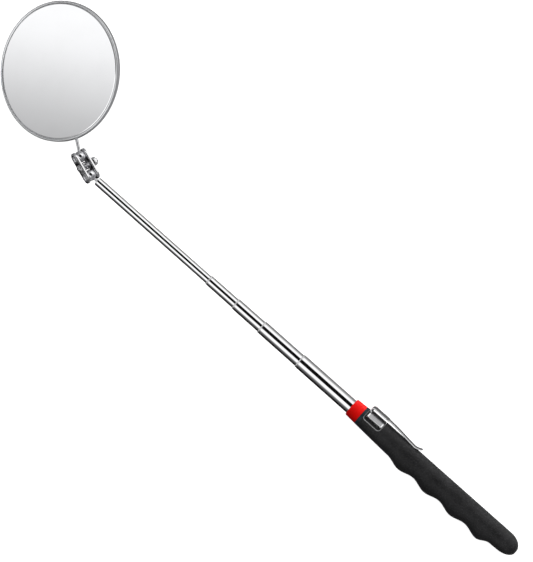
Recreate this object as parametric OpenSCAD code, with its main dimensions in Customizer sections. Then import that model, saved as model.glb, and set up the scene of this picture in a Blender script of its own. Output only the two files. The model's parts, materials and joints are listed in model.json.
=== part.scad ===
// Telescoping inspection mirror, lying on its side.
// +X runs along the shaft towards the mirror, the origin is where the bare outer tube leaves
// the collar, the pocket clip is on the -Y side of the grip and the finger ridges are on +Y.

/* [Grip] */
// Length of the rubber grip
grip_len = 125.2; // [110:0.1:160]
// Rubber over the core on the clip side and across
grip_wall = 2.1; // [1.7:0.05:3]
// Rubber over the core where the grip meets the collar
nose_wall = 1.1; // [0.8:0.05:1.8]
// Length over which the grip widens behind the collar
nose_run = 8; // [5:0.5:15]
// Number of finger ridges
ridge_count = 4; // [3:1:5]
// Spacing of the finger ridges
ridge_pitch = 20.9; // [17:0.1:23]
// Distance from the butt to the first ridge
ridge_start = 24.2; // [20:0.1:30]
// Rubber over the core on a finger ridge
ridge_wall = 4.7; // [3.5:0.05:6.5]
// Rubber over the core in a finger groove
groove_wall = 2.35; // [1.7:0.05:3]
// Length of the slope behind the first ridge
tail_run = 8.5; // [6:0.5:12]
// Rubber over the core behind the first ridge
tail_wall = 1.05; // [0.9:0.05:2]
// Rubber over the core that the underside aims at in the butt
butt_wall = 0.55; // [0.5:0.05:1.5]
// Length of the rounded butt
butt_round = 10; // [8:0.5:12]
// Length of rubber behind the core
butt_fill = 9.5; // [8:0.5:14]

/* [Core and collar] */
// Wall of the hard core around the outer tube
core_wall = 0.66; // [0.4:0.01:0.9]
// Length of the core's closed end
core_floor = 4; // [2:0.5:8]
// Length of the collar
collar_len = 7.8; // [6:0.1:12]
// Thickness of the collar at its front, over the outer tube
collar_front_wall = 1.2; // [0.9:0.05:2]
// Thickness of the collar at its back, over the core
collar_back_wall = 1.05; // [0.8:0.05:2]
// Chamfer of the collar's front edge
collar_chamfer = 0.45; // [0.2:0.05:0.8]
// Length of the collar's lip in front of the core
collar_lip = 1.5; // [1:0.1:3]

/* [Tubes] */
// How much the outer tube is turned down where the core holds it
seat_step = 0.16; // [0.16:0.01:0.18]
// Radius of the outer tube
outer_r = 4.75; // [3.95:0.05:5.8]
// Step in radius from each tube to the next
tube_step = 0.5; // [0.5:0.01:0.55]
// Wall of each tube
tube_wall = 0.3; // [0.25:0.01:0.32]
// How much shorter each sliding tube is than the outer tube
tube_spare = 3.7; // [1:0.1:30]
// Bare length of the outer tube
outer_show = 42.4; // [35:0.1:55]
// Bare length of the first sliding tube
first_show = 31.2; // [5:0.1:120]
// Bare length of the second sliding tube
second_show = 21.4; // [5:0.1:120]
// Bare length of the third sliding tube
third_show = 22.1; // [5:0.1:120]
// Bare length of the tip tube
tip_show = 91.7; // [5:0.1:120]
// Length of the rolled mouth of a tube
mouth_len = 1.2; // [0.8:0.1:2]
// Length of a friction sleeve
sleeve_len = 9; // [6:0.5:14]
// Depth of the seat that a friction sleeve sits in
sleeve_seat = 0.12; // [0.08:0.01:0.15]
// Length of the lip behind a friction sleeve
tail_lip = 0.8; // [0.5:0.1:2]
// Width of the split in a friction sleeve
sleeve_split = 0.8; // [0.4:0.1:1.5]

/* [Pocket clip] */
// Thickness of the clip's sheet metal
clip_t = 0.75; // [0.6:0.05:0.9]
// Width of the arm at the bend
arm_w = 6; // [5:0.1:7]
// Width of the arm where it touches the grip
arm_tip_w = 3.6; // [2.5:0.1:4.5]
// Length of the band along the grip
band_len = 10.7; // [9:0.1:14]
// Half angle that the band wraps round the grip
band_half = 61; // [50:1:75]
// Half angle of the recess in the grip
recess_half = 79; // [78:1:88]
// Depth of the recess in the grip
recess_depth = 0.95; // [0.85:0.05:1.1]
// Distance from the collar to the recess
recess_gap = 1.9; // [1.5:0.1:4]
// Inner radius of the bend
bend_r = 0.95; // [0.8:0.05:1.4]
// Length of the arm from the bend to where it touches
arm_reach = 33.4; // [28:0.1:40]
// Length of the turned-up tip
tip_len = 4.8; // [3:0.1:7]
// Rise of the turned-up tip
tip_rise = 1.9; // [1:0.1:3]

/* [Ball clamp] */
// Radius of the two balls
ball_r = 3.6; // [3:0.05:4.35]
// Gap between a ball and the tension spring
ball_gap = 0.2; // [0.2:0.01:2]
// How deep a ball sits in each plate
seat_bite = 0.9; // [0.8:0.05:1.1]
// Thickness of a plate
plate_t = 1.5; // [1.2:0.05:1.8]
// How far the plates' round ends stand out past the balls
plate_margin = 0.3; // [0.2:0.05:0.7]
// Width of the lip that holds a ball in its seat
seat_lip = 0.12; // [0.08:0.01:0.4]
// Height of the ring round a ball seat
seat_ring_h = 0.35; // [0.2:0.05:0.6]
// Width of the ring round a ball seat
seat_ring_w = 0.85; // [0.6:0.05:1]
// Radius of the neck next to a ball
neck_r = 0.9; // [0.6:0.05:0.95]
// Length of a neck past the plates' ends
neck_out = 1.25; // [1.2:0.05:3]
// Length of the cone between a neck and the tip tube
stud_cone = 1; // [0.8:0.05:4]
// Radius of the tension screw
screw_r = 1.25; // [1:0.05:1.4]
// Radius of the screw's head
screw_head_r = 2.3; // [2:0.05:2.6]
// Height of the screw's head
screw_head_h = 1.3; // [1:0.1:1.8]
// Width across the nut's corners
nut_w = 5.6; // [4.6:0.1:6]
// Height of the nut
nut_h = 3; // [1.6:0.1:3.6]
// Radius of the washer under the nut
washer_r = 2.75; // [2.4:0.05:3.2]
// Thickness of the washer
washer_t = 0.5; // [0.3:0.05:0.8]
// Mean radius of the tension spring
spring_r = 2.35; // [2.1:0.05:2.4]
// Radius of the tension spring's wire
spring_wire_r = 0.36; // [0.25:0.01:0.4]
// Turns of the tension spring
spring_turns = 3.75; // [2.75:1:4.75]

/* [Mirror head] */
// Radius of the whole mirror head
head_r = 43.5; // [30:0.5:53]
// Height of the rim over the glass
rim_lip = 0.5; // [0.4:0.05:0.8]
// Radius of the stem
stem_r = 0.95; // [0.75:0.05:1.2]
// Distance from the ball to the middle of the mirror
stem_reach = 54.4; // [45:0.1:65]
// Thickness of the case's sheet metal
case_t = 0.6; // [0.4:0.05:0.7]
// Thickness of the foam pad
pad_t = 0.4; // [0.3:0.05:0.6]
// Thickness of the mirror glass
glass_t = 2; // [1.6:0.1:2.2]
// Width of the bevel round the glass
bevel_w = 1; // [0.8:0.1:2.5]
// Depth of the bevel round the glass
bevel_h = 0.4; // [0.3:0.05:0.8]
// Thickness of the rim's sheet metal
rim_t = 0.5; // [0.4:0.05:0.6]
// Width of the rim seen from the front
rim_w = 1.6; // [1.4:0.1:2.6]
// Length of the saddle that holds the stem
saddle_len = 16; // [12:0.5:22]
// Width of the saddle over its wings
saddle_w = 11; // [9:0.5:14]
// Thickness of the saddle's sheet metal
saddle_t = 0.6; // [0.5:0.05:0.8]
// Radius of a rivet's shank
rivet_r = 0.7; // [0.5:0.05:0.8]
// Radius of a rivet's head
rivet_head_r = 1.2; // [1:0.05:1.4]

/* [Pose] */
// Turn of the tip tube about the shaft
tip_roll = -48.4; // [-180:0.1:180]
// Tilt of the clamp at the tube's ball
clamp_tilt = 15.1; // [-20:0.1:20]
// Swing of the clamp about its plates' normal
clamp_swing = -12.8; // [-90:0.1:90]
// Swing of the stem about the plates' normal
stem_swing = -1.1; // [-90:0.1:90]
// Tilt of the stem between the plates
stem_tilt = 18.4; // [-20:0.1:20]
// Turn of the mirror head about the stem
head_spin = 38.5; // [-180:0.1:180]

/* [Hidden] */

// smoothness of true round surfaces and of grid surfaces
$fn = 96;
grip_sides = 40;
rings_per_ridge = 9;
nose_rings = 6;
butt_rings = 7;
spring_sides = 8;
spring_steps = 18;
// running clearance of a piece that slides or turns in another
run_gap = 0.05;
// clearance between moving pieces that don't touch
free_gap = 0.3;
// how far a cut runs past the face that it opens
over = 1;

// the shaft
seat_r = outer_r - seat_step;
outer_len = outer_show + collar_len + grip_len - butt_fill - core_floor;
inner_len = outer_len - tube_spare;
tube_radii = [for (i = [0 : 4]) outer_r - i * tube_step];
shows = [outer_show, first_show, second_show, third_show, tip_show];
function mouth_x(i) = i == 0 ? shows[0] : mouth_x(i - 1) + shows[i];
tip_x = mouth_x(4);
bead_len = 0.75;
bead_drop = 0.22;
bead_groove = 0.16;
bead_edge = 0.02;
bead_slope = 0.1;
mouth_edge = 0.1;
mouth_slope = 0.2;

// the handle
butt_x = -collar_len - grip_len;
core_r = seat_r + core_wall;
core_nose_r = core_r - 0.1;
core_x = butt_x + butt_fill;
outer_tail_x = core_x + core_floor;
core_taper = 6;
core_end_r = core_r - 1;
grip_r = core_r + grip_wall;
nose_r = core_r + nose_wall;
ridge_r = core_r + ridge_wall;
groove_r = core_r + groove_wall;
tail_r = core_r + tail_wall;
butt_r = core_r + butt_wall;
collar_front_r = outer_r + collar_front_wall;
collar_back_r = core_r + collar_back_wall;
recess_r = grip_r - recess_depth;
recess_front_x = -collar_len - recess_gap;

// the clip, whose sheet lies on the recess floor
band_r = recess_r + 0.05;
bend_out_r = bend_r + clip_t;
bend_x = recess_front_x - free_gap - bend_out_r;
bend_z = band_r + bend_out_r;
band_front_x = bend_x + 0.6;
arm_z = bend_z + bend_r;
touch_z = grip_r + run_gap;
touch_x = bend_x - arm_reach;
arm_flat = 11;
arm_steps = 10;
arm_gap = 0.15;
arm_sweep = 0.8;
bend_steps = 16;
tip_steps = 5;
lug_half = 3;
lug_at = 50;
lug_len = 6;
lug_r = recess_r - 0.7;
band_notch = 0.35;

// the ball clamp
plate_z = ball_r - seat_bite;
plate_top_z = plate_z + plate_t;
plate_r = ball_r + plate_margin;
seat_hole_r = sqrt(ball_r * ball_r - plate_z * plate_z) - seat_lip;
ball_pitch = 2 * (ball_r + ball_gap + spring_r + spring_wire_r);
neck_end = plate_r + neck_out;
ball_reach = neck_end + stud_cone;
stem_cone = 0.8;
stud_len = 9;
stud_lead = 0.3;
stud_shoulder_r = tube_radii[4] - mouth_edge;
stud_shoulder_len = 0.4;
screw_x = ball_pitch / 2;
thread_out = 1;
slot_w = 0.6;
slot_len = 1.1 * screw_head_r;
slot_floor = 0.4 * screw_head_h;
crown_r = 0.6 * screw_head_r;
nut_face_r = 0.42 * nut_w;

// the mirror head, whose stem lies on the axis at z = 0
saddle_air = 0.35;
case_z = stem_r + saddle_air;
case_top_z = case_z + case_t;
glass_z = case_top_z + pad_t;
glass_top_z = glass_z + glass_t;
head_top_z = glass_top_z + rim_lip;
rim_round = 0.9;
rim_chamfer = 0.1;
rim_lip_round = 0.25;
case_r = head_r - rim_t;
case_wall_z = head_top_z - rim_round;
glass_r = case_r - case_t - 0.1;
pad_r = glass_r - 0.2;
stop_r = case_z - run_gap;
stop_len = 0.8;
rivet_x = saddle_len / 2 - 2.5;
rivet_y = saddle_w / 2 - 1.8;
rivet_cap_h = 0.55;
rivet_cap_r = 0.55 * rivet_head_r;
saddle_r = stem_r + run_gap + saddle_t;

// ---- frames ----

// a solid of revolution about the X axis, from outline points [x, r]
module turned(points) {
    rotate([0, 90, 0]) rotate_extrude() polygon([for (p = points) [p[1], p[0]]]);
}

// the handle's own upright frame, with +Z towards the pocket clip
module clip_upright() {
    rotate([90, 0, 0]) children();
}

// a ring sector about the X axis, centred on +Z
module sector(x, len, r_in, r_out, half, at = 0) {
    rotate([at, 0, 0]) translate([x, 0, 0]) rotate([0, 90, 0]) rotate([0, 0, 180 - half])
        rotate_extrude(angle = 2 * half) translate([r_in, 0]) square([r_out - r_in, len]);
}

module at_tip() {
    translate([tip_x, 0, 0]) rotate([tip_roll, 0, 0]) children();
}

module at_tube_ball() {
    at_tip() translate([ball_reach, 0, 0]) rotate([0, clamp_tilt, 0]) children();
}

module at_clamp() {
    at_tube_ball() rotate([0, 0, clamp_swing]) children();
}

module at_mirror_ball() {
    at_clamp() translate([ball_pitch, 0, 0]) rotate([0, 0, stem_swing]) children();
}

module at_stem() {
    at_mirror_ball() rotate([0, stem_tilt, 0]) children();
}

module at_head() {
    at_stem() translate([stem_reach, 0, 0]) rotate([head_spin, 0, 0]) children();
}

// ---- grip ----

last_ridge = ridge_start + (ridge_count - 1) * ridge_pitch;
last_groove = last_ridge + ridge_pitch / 2;
tail_x = ridge_start - tail_run;

function blend(a, b, t) = a + (b - a) * t;
function ease(t) = (1 - cos(180 * t)) / 2;

// the underside: a butt, finger ridges and grooves, then a straight run to the collar
function under(d) =
    d < tail_x ? blend(butt_r, tail_r, d / tail_x)
    : d < ridge_start ? blend(tail_r, ridge_r, ease((d - tail_x) / tail_run))
    : d < last_groove ? blend(groove_r, ridge_r, (1 + cos(360 * (d - ridge_start) / ridge_pitch)) / 2)
    : blend(groove_r, nose_r, (d - last_groove) / (grip_len - last_groove));

// the clip side and the flanks: straight, then narrowing to the collar
function upper(d) =
    d < grip_len - nose_run ? grip_r : blend(grip_r, nose_r, (d - grip_len + nose_run) / nose_run);

// how much the rounded butt takes in every radius
function butt_share(d) = d >= butt_round ? 1 : sqrt(1 - pow(1 - d / butt_round, 2.2));

grip_stations = concat(
    [for (i = [1 : butt_rings]) butt_round * (1 - cos(90 * i / butt_rings))],
    [for (i = [1 : 4]) blend(butt_round, ridge_start, i / 4)],
    [for (i = [1 : rings_per_ridge * (ridge_count - 1)]) ridge_start + i * ridge_pitch / rings_per_ridge],
    [for (i = [1 : 4]) blend(last_ridge, last_groove, i / 4)],
    [for (i = [1 : nose_rings]) blend(last_groove, grip_len - nose_run, i / nose_rings)],
    [grip_len]
);

function grip_ring(d) = [
    for (j = [0 : grip_sides - 1])
        let (a = 360 * j / grip_sides, share = butt_share(d))
        [
            butt_x + d,
            upper(d) * share * cos(a),
            (sin(a) > 0 ? upper(d) : under(d)) * share * sin(a)
        ]
];

// a closed skin over rings of equal point counts, the rings running along the length
module skin(rings) {
    n = len(rings[0]);
    last = len(rings) - 1;
    walls = [
        for (i = [0 : last - 1], j = [0 : n - 1])
            [i * n + j, (i + 1) * n + j, (i + 1) * n + (j + 1) % n, i * n + (j + 1) % n]
    ];
    polyhedron(
        points = [for (ring = rings, p = ring) p],
        faces = concat(
            walls,
            [[for (j = [0 : n - 1]) j]],
            [[for (j = [0 : n - 1]) last * n + n - 1 - j]]
        ),
        convexity = 6
    );
}

// the outside of the hard core, which the grip is moulded over
module core_outside() {
    turned([
        [core_x, 0], [core_x, core_end_r], [core_x + core_taper, core_r],
        [-collar_len, core_r], [-collar_len, core_nose_r], [-collar_lip, core_nose_r], [-collar_lip, 0]
    ]);
}

module clip_lugs() {
    for (side = [-1, 1])
        sector(
            bend_x - band_len / 2 - lug_len / 2, lug_len, lug_r, band_r + clip_t / 2, lug_half, side * lug_at
        );
}

module rubber_grip() {
    color("#222224") clip_upright() difference() {
        skin([for (d = grip_stations) grip_ring(d)]);
        core_outside();
        sector(
            bend_x - band_len - free_gap, recess_front_x - bend_x + band_len + free_gap,
            recess_r, grip_r + over, recess_half
        );
        clip_lugs();
    }
}

module grip_core() {
    color("#3a3a3c") difference() {
        core_outside();
        turned([[outer_tail_x, 0], [outer_tail_x, seat_r], [over, seat_r], [over, 0]]);
    }
}

module collar() {
    color("#d8140e") turned([
        [-collar_len, core_nose_r], [-collar_len, collar_back_r],
        [-collar_chamfer, collar_front_r], [0, collar_front_r - collar_chamfer],
        [0, seat_r], [-collar_lip, seat_r], [-collar_lip, core_nose_r]
    ]);
}

// ---- tubes ----

// the rolled mouth of a tube, as outline points [x, r] from the outside in
function mouth_outline(x, r) = concat(
    [
        [x - mouth_len, r], [x - mouth_len + bead_slope, r - bead_groove],
        [x - bead_len - bead_slope, r - bead_groove], [x - bead_len, r - bead_edge]
    ],
    [
        for (a = [18 : 18 : 90])
            [x - bead_len + bead_len * sin(a), r - bead_edge - bead_drop * (1 - cos(a))]
    ],
    [
        [x, r - tube_step + run_gap], [x - mouth_len, r - tube_step + run_gap],
        [x - mouth_len - mouth_slope, r - tube_wall]
    ]
);

module sliding_tube(i) {
    r = tube_radii[i];
    x = mouth_x(i);
    tail = x - inner_len;
    seat_end = tail + tail_lip + sleeve_len + 2 * run_gap;
    front = i == 4 ? [[x - mouth_edge, r], [x, r - mouth_edge], [x, r - tube_wall]] : mouth_outline(x, r);
    color("#d9dadd") turned(concat(
        [
            [tail, r - tube_wall], [tail, r], [tail + tail_lip, r],
            [tail + tail_lip, r - sleeve_seat], [seat_end, r - sleeve_seat], [seat_end, r]
        ],
        front
    ));
}

module outer_tube() {
    x = mouth_x(0);
    color("#d9dadd") turned(concat(
        [[outer_tail_x, outer_r - tube_wall], [outer_tail_x, seat_r], [0, seat_r], [0, outer_r]],
        mouth_outline(x, outer_r)
    ));
}

// a split spring sleeve that sits in the tail of a sliding tube and drags in the tube outside it
module sleeve(i) {
    r = tube_radii[i];
    x = mouth_x(i) - inner_len + tail_lip + run_gap;
    r_in = r - sleeve_seat + run_gap / 2;
    r_out = r + tube_step - tube_wall - run_gap / 2;
    color("#c8a04a") difference() {
        turned([[x, r_in], [x, r_out], [x + sleeve_len, r_out], [x + sleeve_len, r_in]]);
        translate([x - over, -sleeve_split / 2, 0]) cube([sleeve_len + 2 * over, sleeve_split, r + over]);
    }
}

// ---- pocket clip ----

// how far the arm has dropped between the bend and where it touches, and its underside
function arm_drop(t) = ease(t * arm_sweep) / ease(arm_sweep);
function arm_under(d) =
    d < arm_flat ? arm_z
    : d < arm_reach ? blend(arm_z, touch_z, arm_drop((d - arm_flat) / (arm_reach - arm_flat)))
    : touch_z + tip_rise * pow((d - arm_reach) / tip_len, 1.5);

arm_run = concat(
    [0],
    [for (i = [0 : arm_steps]) blend(arm_flat, arm_reach, i / arm_steps)],
    [for (i = [1 : tip_steps]) arm_reach + i * tip_len / tip_steps]
);

function bend_arc(r, from, to) = [
    for (i = [0 : bend_steps])
        let (a = blend(from, to, i / bend_steps)) [bend_x + r * cos(a), bend_z + r * sin(a)]
];

// the arm seen from the side: the bend, the arm and the turned-up tip
module arm_side() {
    last = len(arm_run) - 1;
    polygon(concat(
        bend_arc(bend_out_r, -90, 90),
        [for (i = [1 : last]) [bend_x - arm_run[i], arm_under(arm_run[i]) + clip_t]],
        [for (i = [last : -1 : 1]) [bend_x - arm_run[i], arm_under(arm_run[i])]],
        bend_arc(bend_r, 90, -90)
    ));
}

// the arm seen from above: straight, then narrowing to a rounded tip
module arm_plan() {
    tip_end = touch_x - tip_len;
    half = arm_w / 2;
    tip_half = arm_tip_w / 2;
    polygon(concat(
        [[bend_x + bend_out_r + over, -half], [bend_x - arm_flat, -half], [touch_x, -tip_half]],
        [for (i = [0 : bend_steps])
            let (a = blend(270, 90, i / bend_steps)) [tip_end + tip_half * (1 + cos(a)), tip_half * sin(a)]],
        [[touch_x, tip_half], [bend_x - arm_flat, half], [bend_x + bend_out_r + over, half]]
    ));
}

module clip_arm() {
    color("#c9cacd") clip_upright() intersection() {
        rotate([90, 0, 0]) linear_extrude(arm_w + over, center = true) arm_side();
        linear_extrude(arm_z + grip_r) arm_plan();
    }
}

module clip_band() {
    color("#c9cacd") clip_upright() {
        difference() {
            sector(bend_x - band_len, band_front_x - bend_x + band_len, band_r, band_r + clip_t, band_half);
            translate([bend_x - band_notch, -arm_w / 2 - arm_gap, 0])
                cube([band_len, arm_w + 2 * arm_gap, grip_r + over]);
        }
        clip_lugs();
    }
}

// ---- ball clamp ----

module tip_stud() {
    r_in = tube_radii[4] - tube_wall;
    color("#cfd0d4") at_tip() difference() {
        turned([
            [-stud_len, 0], [-stud_len, r_in - stud_lead], [stud_lead - stud_len, r_in], [0, r_in],
            [0, stud_shoulder_r], [stud_shoulder_len, stud_shoulder_r], [ball_reach - neck_end, neck_r],
            [ball_reach - ball_r / 2, neck_r], [ball_reach - ball_r / 2, 0]
        ]);
        translate([ball_reach, 0, 0]) sphere(ball_r + run_gap);
    }
}

module tube_ball() {
    color("#e2e3e6") at_tube_ball() sphere(ball_r);
}

module mirror_ball() {
    color("#e2e3e6") at_mirror_ball() sphere(ball_r);
}

module plate_outline() {
    circle(plate_r);
    translate([ball_pitch, 0]) circle(plate_r);
    translate([0, -plate_r]) square([ball_pitch, 2 * plate_r]);
}

// a plate with its two ball seats, on the +Z side of the balls
module plate() {
    difference() {
        union() {
            translate([0, 0, plate_z]) linear_extrude(plate_t) plate_outline();
            for (x = [0, ball_pitch])
                translate([x, 0, plate_z]) cylinder(r = seat_hole_r + seat_ring_w, h = plate_t + seat_ring_h);
        }
        for (x = [0, ball_pitch]) {
            translate([x, 0, 0]) sphere(ball_r + run_gap);
            translate([x, 0, 0]) cylinder(r = seat_hole_r, h = plate_top_z + seat_ring_h + over);
        }
        translate([screw_x, 0, 0]) cylinder(r = screw_r + run_gap, h = plate_top_z + over);
    }
}

module near_plate() {
    color("#c4c5c9") at_clamp() plate();
}

module far_plate() {
    color("#c4c5c9") at_clamp() mirror([0, 0, 1]) plate();
}

module tension_screw() {
    shank = 2 * plate_top_z + washer_t + nut_h + thread_out;
    color("#b9babf") at_clamp() translate([screw_x, 0, plate_top_z]) difference() {
        union() {
            cylinder(r = screw_head_r, h = screw_head_h / 2);
            translate([0, 0, screw_head_h / 2])
                cylinder(r1 = screw_head_r, r2 = crown_r, h = screw_head_h / 2);
            translate([0, 0, -shank]) cylinder(r = screw_r, h = shank);
        }
        for (turn = [0, 90])
            rotate([0, 0, turn]) translate([-slot_len / 2, -slot_w / 2, slot_floor])
                cube([slot_len, slot_w, screw_head_h]);
    }
}

module tension_nut() {
    color("#d4d5d8") at_clamp() translate([screw_x, 0, -plate_top_z - washer_t - nut_h]) difference() {
        intersection() {
            cylinder(d = nut_w, h = nut_h, $fn = 6);
            cylinder(r1 = nut_face_r, r2 = nut_face_r + nut_h, h = nut_h);
        }
        translate([0, 0, -over]) cylinder(r = screw_r, h = nut_h + 2 * over);
    }
}

module tension_washer() {
    color("#a9aaae") at_clamp() translate([screw_x, 0, -plate_top_z - washer_t]) difference() {
        cylinder(r = washer_r, h = washer_t);
        translate([0, 0, -over]) cylinder(r = screw_r + run_gap, h = washer_t + 2 * over);
    }
}

// the ring of the spring's wire after some turns
function spring_ring(turn) =
    let (low = -plate_z + spring_wire_r, rise = 2 * (plate_z - spring_wire_r) / spring_turns, a = 360 * turn)
    [
        for (j = [0 : spring_sides - 1])
            let (b = 360 * j / spring_sides, r = spring_r + spring_wire_r * cos(b))
            [screw_x + r * cos(a), r * sin(a), low + rise * turn + spring_wire_r * sin(b)]
    ];

module tension_spring() {
    color("#8f9095") at_clamp()
        skin([for (i = [0 : spring_steps * spring_turns]) spring_ring(i / spring_steps)]);
}

// ---- mirror head ----

module mirror_stem() {
    cone_end = neck_end + stem_cone;
    half = saddle_len / 2;
    end = stem_reach + half + run_gap + stop_len;
    front_stop = stem_reach - half - run_gap - stop_len;
    color("#d2d3d6") at_stem() difference() {
        turned([
            [ball_r / 2, 0], [ball_r / 2, neck_r], [neck_end, neck_r], [cone_end, stem_r],
            [front_stop, stem_r], [front_stop, stop_r], [front_stop + stop_len, stop_r],
            [front_stop + stop_len, stem_r], [end - stop_len, stem_r], [end - stop_len, stop_r],
            [end, stop_r], [end, 0]
        ]);
        sphere(ball_r + run_gap);
    }
}

module stem_saddle() {
    color("#b4b5b9") at_head() difference() {
        union() {
            translate([-saddle_len / 2, 0, 0]) rotate([0, 90, 0]) cylinder(r = saddle_r, h = saddle_len);
            translate([-saddle_len / 2, -saddle_r, 0]) cube([saddle_len, 2 * saddle_r, case_z]);
            translate([-saddle_len / 2, -saddle_w / 2, case_z - saddle_t])
                cube([saddle_len, saddle_w, saddle_t]);
        }
        translate([-saddle_len, 0, 0]) rotate([0, 90, 0]) cylinder(r = stem_r + run_gap, h = 2 * saddle_len);
        translate([-saddle_len, -saddle_w, case_z]) cube([2 * saddle_len, 2 * saddle_w, saddle_r]);
        rivet_places() translate([0, 0, -over]) cylinder(r = rivet_r, h = case_z + over);
    }
}

module rivet_places() {
    for (x = [-rivet_x, rivet_x], y = [-rivet_y, rivet_y]) translate([x, y, 0]) children();
}

module saddle_rivets() {
    under_z = case_z - saddle_t;
    color("#dcdde0") at_head() rivet_places() {
        translate([0, 0, under_z]) cylinder(r = rivet_r, h = case_top_z - under_z);
        translate([0, 0, under_z - rivet_cap_h]) cylinder(r1 = rivet_cap_r, r2 = rivet_head_r, h = rivet_cap_h);
    }
}

module mirror_case() {
    color("#aeb0b4") at_head() difference() {
        rotate_extrude() polygon([
            [0, case_z], [case_r - case_t, case_z], [case_r, case_z + case_t],
            [case_r, case_wall_z], [case_r - case_t, case_wall_z], [case_r - case_t, case_top_z],
            [0, case_top_z]
        ]);
        rivet_places() cylinder(r = rivet_r, h = head_top_z);
    }
}

module mirror_pad() {
    color("#3c3c3e") at_head() translate([0, 0, case_top_z]) cylinder(r = pad_r, h = pad_t);
}

module mirror_glass() {
    color("#dfe3e8") at_head() rotate_extrude() polygon([
        [0, glass_z], [glass_r, glass_z], [glass_r, glass_top_z - bevel_h],
        [glass_r - bevel_w, glass_top_z], [0, glass_top_z]
    ]);
}

// the rolled rim: a wall round the case and a lip that turns in over the glass
module mirror_rim() {
    foot_z = case_z + case_t;
    inner_r = head_r - rim_w;
    inner_z = glass_top_z - bevel_h * (1 - (glass_r - inner_r) / bevel_w) + run_gap;
    color("#c8cacd") at_head() rotate_extrude() polygon(concat(
        [[case_r, foot_z], [head_r - rim_chamfer, foot_z], [head_r, foot_z + rim_chamfer]],
        [
            for (a = [0 : 15 : 90])
                [head_r - rim_round * (1 - cos(a)), head_top_z - rim_round * (1 - sin(a))]
        ],
        [
            [inner_r + rim_lip_round, inner_z + rim_lip - rim_chamfer], [inner_r, inner_z + rim_lip_round],
            [inner_r, inner_z], [case_r, case_wall_z + rim_chamfer + run_gap]
        ]
    ));
}

rubber_grip();
grip_core();
collar();
outer_tube();
sliding_tube(1);  // first_tube
sliding_tube(2);  // second_tube
sliding_tube(3);  // third_tube
sliding_tube(4);  // tip_tube
sleeve(1);  // first_sleeve
sleeve(2);  // second_sleeve
sleeve(3);  // third_sleeve
sleeve(4);  // tip_sleeve
clip_band();
clip_arm();
tip_stud();
tube_ball();
near_plate();
far_plate();
tension_screw();
tension_nut();
tension_washer();
tension_spring();
mirror_ball();
mirror_stem();
stem_saddle();
saddle_rivets();
mirror_case();
mirror_pad();
mirror_glass();
mirror_rim();
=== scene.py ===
"""A telescoping inspection mirror on a pale floor: its finished pieces, light and camera.

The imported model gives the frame. Round and swept pieces are worked out again on fine grids, in metres,
in the same places as the nodes they stand for, and every other node keeps its mesh and gets a finish.
"""

import json
import logging
from dataclasses import dataclass
from enum import Enum
from typing import Any, Sequence

import bmesh
import bpy
import numpy as np
from mathutils import Matrix, Vector

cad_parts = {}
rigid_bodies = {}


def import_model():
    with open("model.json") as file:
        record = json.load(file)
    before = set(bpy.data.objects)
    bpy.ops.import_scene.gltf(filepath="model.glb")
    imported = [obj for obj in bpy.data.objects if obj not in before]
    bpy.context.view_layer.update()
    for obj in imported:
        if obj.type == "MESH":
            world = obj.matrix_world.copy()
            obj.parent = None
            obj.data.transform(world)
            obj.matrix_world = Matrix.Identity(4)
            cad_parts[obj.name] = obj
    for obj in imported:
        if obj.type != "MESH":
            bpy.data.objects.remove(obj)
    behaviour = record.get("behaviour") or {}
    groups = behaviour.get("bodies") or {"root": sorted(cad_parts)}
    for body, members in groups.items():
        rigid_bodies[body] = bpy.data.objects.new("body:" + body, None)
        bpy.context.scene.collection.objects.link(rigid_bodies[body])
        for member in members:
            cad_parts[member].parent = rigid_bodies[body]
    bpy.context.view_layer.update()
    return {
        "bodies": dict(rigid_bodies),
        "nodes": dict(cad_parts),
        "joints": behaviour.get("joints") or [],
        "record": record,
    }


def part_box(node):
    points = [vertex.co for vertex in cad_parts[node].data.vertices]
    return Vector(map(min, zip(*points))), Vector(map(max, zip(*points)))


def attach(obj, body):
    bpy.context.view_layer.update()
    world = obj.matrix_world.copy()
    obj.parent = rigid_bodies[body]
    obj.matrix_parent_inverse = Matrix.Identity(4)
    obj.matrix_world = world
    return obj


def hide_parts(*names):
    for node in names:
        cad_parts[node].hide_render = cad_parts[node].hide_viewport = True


LOG = logging.getLogger("inspection_mirror")
MM = 0.001
TURN = 2 * np.pi
SATIN_AND_PAINTED_LIGHT = "satin"
PAINTED_HIGHLIGHT = "worn"


# ---- shader building ----


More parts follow.
